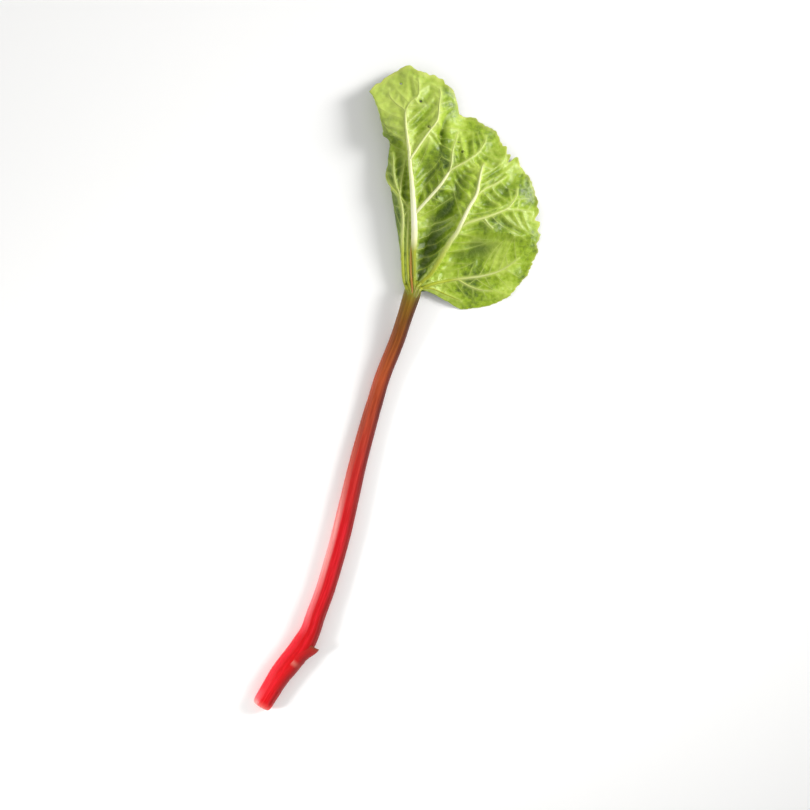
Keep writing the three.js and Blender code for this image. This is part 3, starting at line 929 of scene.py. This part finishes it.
def bearing_of(column):
    """Bearing of a column: even steps, wider on the side that is folded under."""
    shown = first_bearing + (SHOWN_TO - first_bearing) * column / SHOWN_COLUMNS
    hidden_share = (column - SHOWN_COLUMNS) / (COLUMNS - SHOWN_COLUMNS)
    hidden = SHOWN_TO + (last_bearing - SHOWN_TO) * hidden_share
    return np.where(column <= SHOWN_COLUMNS, shown, hidden)


ring_starts = []
ring_columns = []
bearings = []
reaches = []
for ring_number in range(RINGS + 1):
    reach = ring_number / RINGS
    doubled = sum(1 for radius in DOUBLINGS if reach * 200 > radius)
    stride = 2 ** (len(DOUBLINGS) - doubled)
    columns = np.arange(0, COLUMNS + 1, stride)
    ring_starts.append(sum(len(done) for done in bearings))
    ring_columns.append(len(columns) - 1)
    bearings.append(bearing_of(columns))
    reaches.append(np.full(len(columns), reach))
bearing = np.concatenate(bearings)
reach = np.concatenate(reaches)
edge = smooth(*LEAF_EDGE.T, bearing)
teeth = noise_at(bearing * 0.9, np.zeros(len(bearing)), 2.5)
edge = edge + TOOTH_LENGTH * teeth * (1 - np.isclose(np.abs(bearing), first_bearing))
drawn_in = 0.2 * (1 - reach) ** 2 * fade(np.abs(bearing), 60, 110) + 0.12 * fade(-bearing, 60, 112)
turned = np.radians(bearing * (1 - drawn_in))
out_by = BLADE_START + (edge - BLADE_START) * reach
flat_x = JUNCTION[0] + out_by * np.sin(turned)
flat_y = JUNCTION[1] + out_by * np.cos(turned)
print("sheet points:", len(flat_x))

# %% Faces of the sheet
sheet_faces = []
for ring_number in range(RINGS):
    inner, outer = ring_starts[ring_number], ring_starts[ring_number + 1]
    doubles = ring_columns[ring_number + 1] != ring_columns[ring_number]
    for column in range(ring_columns[ring_number]):
        a, b = inner + column, inner + column + 1
        if not doubles:
            sheet_faces.append((a, b, outer + column + 1, outer + column))
            continue
        left, middle, right_one = (outer + 2 * column + step for step in (0, 1, 2))
        sheet_faces += [(a, middle, left), (a, b, middle), (b, right_one, middle)]
centres_x = np.array([flat_x[list(face)].mean() for face in sheet_faces])
centres_y = np.array([flat_y[list(face)].mean() for face in sheet_faces])
bitten = np.zeros(len(sheet_faces), bool)
for hole_x, hole_y, radius in INSECT_HOLES:
    bitten |= np.hypot(centres_x - hole_x, centres_y - hole_y) < radius
eaten = np.unique([at for face, gone in zip(sheet_faces, bitten) if gone for at in face])
sheet_faces = [face for face, gone in zip(sheet_faces, bitten) if not gone]
# The points left on the rim of a hole are drawn onto its circle.
for hole_x, hole_y, radius in INSECT_HOLES:
    from_hole = np.hypot(flat_x[eaten] - hole_x, flat_y[eaten] - hole_y)
    ringed = eaten[(from_hole < 3 * radius) & (from_hole > radius / 2)]
    pull = radius / np.hypot(flat_x[ringed] - hole_x, flat_y[ringed] - hole_y)
    flat_x[ringed] = hole_x + (flat_x[ringed] - hole_x) * pull
    flat_y[ringed] = hole_y + (flat_y[ringed] - hole_y) * pull
print("faces:", len(sheet_faces), "bitten away:", int(bitten.sum()))

# %% The sheet as it lies
place, depth, main_gap, side_gap = on_leaf(flat_x, flat_y)
near_vein = 0.45 * np.exp(-(main_gap / 1.6) ** 2) + 0.3 * np.exp(-(side_gap / 0.8) ** 2)
# Painted shade darkens the corner between the midrib and the next big rib, the strip that the
# pleat overhangs, and a little of the right lobe, so these count as deeper than they are. The fan
# at the tip gets painted light, and counts as less deep.
CORNER_SHADE, STRIP_SHADE, LOBE_SHADE, FAN_LIGHT = 7, 6, 2.5, 4.5
direction, away = polar(flat_x, flat_y)
corner_shade = (1 - fade(away, 36, 66)) * fade(direction, -1, 4) * (1 - fade(direction, 36, 46))
strip_shade = (1 - fade(flat_x, 6, 12)) * fade(smooth(*PLEAT.T, flat_x) - flat_y, 0, 5)
fan_light = fade(flat_y, 215, 245) * (1 - fade(flat_x, 42, 52))
lobe_shade = fade(flat_x, 60, 95)
depth_with_painted_shade = (depth + CORNER_SHADE * corner_shade + STRIP_SHADE * strip_shade + LOBE_SHADE * lobe_shade
              - FAN_LIGHT * fan_light)
sheet = new_object(
    "leaf_sheet", to_frame(*place.T), faces=sheet_faces,
    flat=np.stack([flat_x * MM, flat_y * MM, np.zeros(len(flat_x))], axis=-1),
    sunk=depth_with_painted_shade, near_vein=np.clip(near_vein, 0, 0.8), share=reach,
    calm=fade(side_gap, 0.2, 3.0) * (1 - fade(reach, 0.97, 1.0)),
)
upright = sum(face.normal.z * face.area for face in sheet.data.polygons if face.normal.z > 0)
upside_down = sum(-face.normal.z * face.area for face in sheet.data.polygons if face.normal.z < 0)
print("sheet area facing up and down, cm2:", round(upright * 1e4), round(upside_down * 1e4))
first_face = sheet.data.polygons[0]
if first_face.normal.z < 0:
    sheet.data.flip_normals()

# %% Small cells pressed into the sheet
cell_tree, node, ins = geometry_tree(
    "Leaf cells", [("Cell size", "Float", 0.0061), ("Cell depth", "Float", 0.00048)])
flat = node("named", "flat", data_type="FLOAT_VECTOR")
calm = node("named", "calm", data_type="FLOAT")
warped = node("noise", flat, WARP_SCALE, 1.0)
bent = node("vector", warped.outputs["Color"], WARP, flat, operation="MULTIPLY_ADD")
density = node("DIVIDE", 1.0, ins["Cell size"])
cells = node("cells", bent, density)
pressed = node("smooth range", cells, 0.0, 0.4, 0.0, -1.0)
pressed = node("MULTIPLY", node("MULTIPLY", pressed, calm), ins["Cell depth"])
shift = node("vector", node("GeometryNodeInputNormal"), pressed, operation="SCALE")
finish_tree(node, node("GeometryNodeSetPosition", ins["Geometry"], inputs={"Offset": shift}),
            ins["Skin"])
run_tree(sheet, cell_tree, Skin=underside_material)

# %% Thickness and the two materials
sheet.data.materials.append(upper_material)
thicken(sheet, LEAF_THICKNESS, lower_material=1)
sheet.data.shade_smooth()
print("leaf_sheet:", sum(len(face.vertices) - 2 for face in sheet.data.polygons), "triangles")

# %% [markdown]
# ## The ribs and veins
#
# Ribs stand proud of the underside like cords under a cloth. The main ones are cream, yellow where
# they leave the stalk, and a pink strand runs up beside the midrib there. Geometry Nodes turn
# each line of points into a tapering round rib, sunk a little into the sheet. The "from_base"
# attribute is the distance from the stalk, and "size" is the rib's radius in millimetres.

# %% Rib material
rib_material, node, shader = new_material("rhubarb_leaf_rib")
# Gives cream ribs with a moist gloss, olive at the stalk, and a pink flush on one strand.
from_base, size, flush, creamy = (
    node("ShaderNodeAttribute", attribute_name=name).outputs["Fac"]
    for name in ("from_base", "size", "flush", "creamy"))
plain = set_ramp(node("ramp", from_base), [
    (0.0, "#7a7a1a"), (0.03, "#969e20"), (0.1, "#a8b22a"), (0.25, "#aebc44"), (1.0, "#afc052"),
])
cream = set_ramp(node("ramp", from_base), [
    (0.0, "#7a7a1a"), (0.03, "#909a20"), (0.19, "#a4ac32"), (0.25, "#e6e4b2"), (0.33, "#f4f2d2"),
    (0.6, "#e8ebb4"), (1.0, "#d2dc88"),
])
mixed = node("mix", creamy, plain, cream)
thin = node("range", size, 0.25, 0.9, 0.55, 0.0)
paler = node("mix", thin, mixed, colour("#97ac3a"))
pink = node("mix", flush, paler, colour("#bf6038"))
grain = node("noise", node("ShaderNodeTexCoord").outputs["Object"], 700.0, 2.0)
connect(shader, {
    "Base Color": pink, "Roughness": 0.38, "IOR": 1.42,
    "Subsurface Weight": 0.15, "Subsurface Radius": (1.0, 0.9, 0.4), "Subsurface Scale": 0.002,
    "Normal": node("ShaderNodeBump",
                   inputs={"Strength": 0.25, "Distance": 0.0003, "Height": grain}),
})
print("material:", rib_material.name)

# %% The node tree for ribs
rib_tree, node, ins = geometry_tree("Tapering ribs", [("Sides", "Int", 10)])
metres = node("MULTIPLY", node("named", "size", data_type="FLOAT"), MM)
path = node("GeometryNodeSetCurveRadius", node("GeometryNodeMeshToCurve", ins["Geometry"]),
            inputs={"Radius": metres})
ring = node("GeometryNodeCurvePrimitiveCircle", ins["Sides"], 1.0)
tube = node("GeometryNodeCurveToMesh", path, ring, metres, inputs={"Fill Caps": True})
finish_tree(node, tube, ins["Skin"])

# %% The flattened top of the stalk
survey_right = np.stack([np.gradient(survey_line[1]), -np.gradient(survey_line[0])], axis=-1)
survey_right /= np.linalg.norm(survey_right, axis=1)[:, None]


def stalk_top(x, y):
    """Height of the stalk's skin at plan places, and 0 beside it."""
    gap_x = x[:, None] - survey_line[0]
    gap_y = y[:, None] - survey_line[1]
    nearest = np.argmin(gap_x**2 + gap_y**2, axis=1)
    place = np.arange(len(x))
    right = survey_right[nearest]
    across = gap_x[place, nearest] * right[:, 0] + gap_y[place, nearest] * right[:, 1]
    lift, width, thickness = survey_line[2:, nearest]
    share = np.abs(across) / (width / 2)
    ended = np.hypot(gap_x[place, nearest], gap_y[place, nearest]) > np.abs(across) + 0.5
    top = lift + thickness * 0.5 * (1 + np.sqrt(np.clip(1 - share**2, 0, 1)))
    return np.where((share < 1) & ~ended, top, 0)


# %% Ribs on the leaf
# How far a rib's middle stands off the face of the sheet, in radii; below 0 it lies in the sheet.
MAIN_STAND, SIDE_STAND = 0.12, -0.5
MAIN_SIDES, SIDE_SIDES = 16, 8      # of a rib's section
PINK_FLUSH = 0.62
SIDE_VEIN_CREAM = 0.2


def ribs_piece(name, lines, creams, flushed, stand, sides):
    """One piece from many flat lines, laid on the leaf as it lies."""
    points = np.concatenate([line for line, girth in lines])
    girths = np.concatenate([girth for line, girth in lines])
    creamy = np.concatenate([np.zeros(len(line)) + cream
                             for (line, girth), cream in zip(lines, creams)])
    starts = np.concatenate([[0], np.cumsum([len(line) for line, girth in lines])])
    edges = [(at, at + 1) for start, end in zip(starts[:-1], starts[1:])
             for at in range(start, end - 1)]
    place = on_leaf(points[:, 0], points[:, 1], girths * stand + LEAF_THICKNESS / 2)[0]
    place[:, 2] = np.maximum(place[:, 2], girths * 0.5 + 0.05)
    # Over the flattened end of the stalk a rib rises out of the skin little by little.
    away = polar(points[:, 0], points[:, 1])[1]
    away = away - 2.5 * np.maximum(JUNCTION[1] - points[:, 1], 0)
    covered = stalk_top(place[:, 0], place[:, 1])
    risen = fade(points[:, 1], 91, 107)
    emerging = covered + girths * (0.1 * risen - 1.05 * (1 - risen))
    place[:, 2] = np.where(covered > 0, np.maximum(place[:, 2], emerging), place[:, 2])
    piece = new_object(name, to_frame(*place.T), edges=edges,
                       size=girths, creamy=creamy, from_base=np.clip(away / 200, 0, 1),
                       flush=np.repeat(flushed, [len(line) for line, girth in lines]))
    run_tree(piece, rib_tree, Sides=sides, Skin=rib_material)
    return piece


flushed = PINK_FLUSH * (np.arange(len(main_lines)) == FLUSHED_RIB)
main_ribs = ribs_piece("main_ribs", main_lines, main_cream, flushed, MAIN_STAND, MAIN_SIDES)
side_veins = ribs_piece("side_veins", side_lines, np.full(len(side_lines), SIDE_VEIN_CREAM),
                        np.zeros(len(side_lines)), SIDE_STAND, SIDE_SIDES)
for piece in (main_ribs, side_veins):
    face_outwards(piece)

# %% [markdown]
# ## The scrap of sheath
#
# When a stalk is pulled, a torn piece of the papery sheath often stays on its foot. It clings to
# the flank and ends in a small spur that has dried brown. It is a thin curved sheet that follows
# the stalk's section, lifted off at its torn end, with a little thickness.

# %% The sheath
SHEATH_FROM, SHEATH_TO = 0.03, 0.232        # ends, as shares of the stalk's length
SHEATH_LOW, SHEATH_HIGH = 0.02, 0.27        # sides, as shares of a turn round the stalk
SHEATH_PEEL = 0.66          # share of its length after which it stands away from the stalk
SHEATH_SPUR = 5.4           # how far its tip stands away
SHEATH_THICKNESS = 0.4


def stalk_point(along, turn, grow_by):
    """Places on the stalk's section, moved outwards by grow_by millimetres."""
    x, y, lift, width, thickness = stalk_line(along * STATIONS_TO_LEAF)
    ahead = stalk_line(along * STATIONS_TO_LEAF + 0.02)
    heading = np.stack([ahead[0] - x, ahead[1] - y], axis=-1)
    heading /= np.linalg.norm(heading, axis=1)[:, None]
    angle = turn * math.tau
    across = np.cos(angle) * (width / 2 + grow_by)
    bulge = (np.maximum(0.5 + np.sin(angle) / 2, FLAT_CUT) - FLAT_CUT) / (1 - FLAT_CUT)
    return np.stack([x + heading[:, 1] * across, y - heading[:, 0] * across,
                     lift + bulge * (thickness + grow_by)], axis=-1)


SHEATH_COLUMNS, SHEATH_ROWS = 44, 120
u, v = np.meshgrid(np.linspace(0, 1, SHEATH_COLUMNS + 1), np.linspace(0, 1, SHEATH_ROWS + 1))
u, v = u.ravel(), v.ravel()
peeled = fade(v, SHEATH_PEEL, 1)
fray = noise_at(u * 3, v * 9, 0.7)
high = SHEATH_LOW + (SHEATH_HIGH - SHEATH_LOW) * (1 - 0.5 * peeled) + 0.012 * fray * (1 - peeled)
turn_at = SHEATH_LOW + (high - SHEATH_LOW) * u
hem = np.minimum(np.minimum(u * 7, (1 - u) * 4), np.minimum(v * 14, 1))
lifted = -0.45 + 0.62 * fade(hem, 0, 1) + 0.2 * fray * fade(v, 0.4, 1)
lifted = lifted + SHEATH_SPUR * peeled**1.2 * (1 - 0.92 * u)
spot = stalk_point(SHEATH_FROM + (SHEATH_TO - SHEATH_FROM) * v, turn_at, lifted)
row = SHEATH_COLUMNS + 1
sheath_faces = [(at, at + 1, at + row + 1, at + row)
                for line in range(SHEATH_ROWS)
                for at in range(line * row, line * row + SHEATH_COLUMNS)]
sheath = new_object("sheath_scrap", to_frame(*spot.T),
                    faces=sheath_faces, up_it=v, over_it=u, turn=turn_at)
print("sheath points:", len(u))

# %% Sheath material
sheath_material, node, shader = new_material("rhubarb_sheath_papery")
# Gives a thin red film with lengthwise fibres, dried brown at its torn tip.
up_it, over_it, turn = (node("ShaderNodeAttribute", attribute_name=name).outputs["Fac"]
                        for name in ("up_it", "over_it", "turn"))
film = set_ramp(node("ramp", up_it), [
    (0.0, "#d20008"), (0.5, "#cc0008"), (0.8, "#c40a10"), (0.92, "#b01e14"), (0.97, "#9c3420"),
    (1.0, "#7c4824"),
])
fibre_place = node("ShaderNodeCombineXYZ", node("MULTIPLY", over_it, 30.0),
                   node("MULTIPLY", up_it, 4.0))
fibres = node("noise", fibre_place, 1.0, 2.0)
fibre_mask = node("range", fibres, 0.5, 0.75, 0, 0.3)
fibred = node("mix", fibre_mask, film, colour("#e83038"))
# An old tear runs across it as a pale corky line.
tear = node("MULTIPLY_ADD", fibres, 0.09, up_it)
tear = node("ABSOLUTE", node("SUBTRACT", tear, 0.6))
tear = node("smooth range", tear, 0.0, 0.08, 1.0, 0.0)
torn_side = node("smooth range", over_it, 0.0, 0.7, 0.0, 0.5)
tear = node("MULTIPLY", tear, torn_side)
marked = node("mix", tear, fibred, colour("#e0907e"))
# Like the skin below it, the film is darkened by painted shade on the side turned to the ground.
sheath_ground_shade = node("smooth range", turn, 0.23, 0.1, 0.0, 1.0)
held = node("range", up_it, 0.72, 0.95, 1.0, 0.25)
sheath_ground_shade = node("MULTIPLY", sheath_ground_shade, held)
film_with_shade = node("mix", sheath_ground_shade, marked, colour("#b07460"), blend_type="MULTIPLY")
connect(shader, {
    "Base Color": film_with_shade, "Roughness": 0.36, "IOR": 1.4,
    "Normal": node("ShaderNodeBump",
                   inputs={"Strength": 0.4, "Distance": 0.0004, "Height": fibres}),
})
sheath.data.materials.append(sheath_material)
thicken(sheath, SHEATH_THICKNESS)
face_outwards(sheath)

# %% [markdown]
# ## Into the frame
#
# Every piece rides on the part's one body, and the solid that it stands for is hidden.

# %% Ride and replace
for piece, node, slot_name in (
    (stalk, "stalk", "stalk_skin"),
    (sheath, "base_sheath", "sheath_skin"),
    (sheet, "leaf_blade", "leaf_underside"),
    (main_ribs, "leaf_blade", "leaf_underside"),
    (side_veins, "leaf_blade", "leaf_underside"),
):
    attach(piece, "root")
    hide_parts(node)

# %% [markdown]
# ## Table, light and camera
#
# The stalk lies on a plain white table. Two large soft boxes stand beside it, low enough to rake
# across what they light: the right one is for the leaf and its veins, the left one for the stalk.
# A grid keeps the light of each on its own half. The surroundings are bright low down and darker
# overhead, so that hollows in the leaf stay deep. The camera looks straight down.

# %% Table and light
floor_material, node, shader = new_material("white_table")
connect(shader, {"Base Color": colour("#fcfcfb"), "Roughness": 0.8})
floor = new_object("table", [(-12, -12, 0), (12, -12, 0), (12, 12, 0), (-12, 12, 0)],
                   faces=[(0, 1, 2, 3)])
floor.data.materials.append(floor_material)

scene = bpy.context.scene
scene.view_settings.view_transform = "Standard"
scene.view_settings.look = "None"
world = bpy.data.worlds.new("studio")
scene.world = world
world.use_nodes = True
node = partial(add_node, world.node_tree)
sky_place = node("ShaderNodeTexCoord").outputs["Generated"]
sky_height = node("ShaderNodeSeparateXYZ", sky_place).outputs["Z"]
connect(world.node_tree.nodes["Background"], {
    "Strength": node("smooth range", sky_height, 0.2, 0.98, 0.84, 0.46),
    "Color": (1.0, 1.0, 1.0, 1.0),
})


def soft_light(name, place, aim, size, power, spread):
    """A square soft box with a grid, so that its light stays near the place it points at."""
    lamp = bpy.data.lights.new(name, "AREA")
    lamp.size = size
    lamp.energy = power
    lamp.spread = math.radians(spread)
    lamp.color = colour("#fffefd")[:3]
    holder = bpy.data.objects.new(name, lamp)
    holder.location = place
    holder.rotation_euler = (Vector(aim) - Vector(place)).to_track_quat("-Z", "Y").to_euler()
    scene.collection.objects.link(holder)


soft_light("leaf light", (2.0, 0.72, 1.15), (0.05, 0.22, 0.02), 1.1, 4.35, 38)
soft_light("stalk light", (-2.1, -0.50, 1.15), (-0.07, -0.29, 0.01), 0.5, 0.84, 24)

# %% Camera
VIEW_WIDTH = 0.81
VIEW_MIDDLE = (0.0077, -0.0158)
LENS, SENSOR = 85.0, 36.0
HALF_HEIGHT = 0.0164
camera_data = bpy.data.cameras.new("camera")
camera_data.lens = LENS
camera_data.sensor_width = SENSOR
camera_data.clip_end = 50
camera = bpy.data.objects.new("camera", camera_data)
camera.location = (*VIEW_MIDDLE, HALF_HEIGHT + VIEW_WIDTH * LENS / SENSOR)
scene.collection.objects.link(camera)
scene.camera = camera
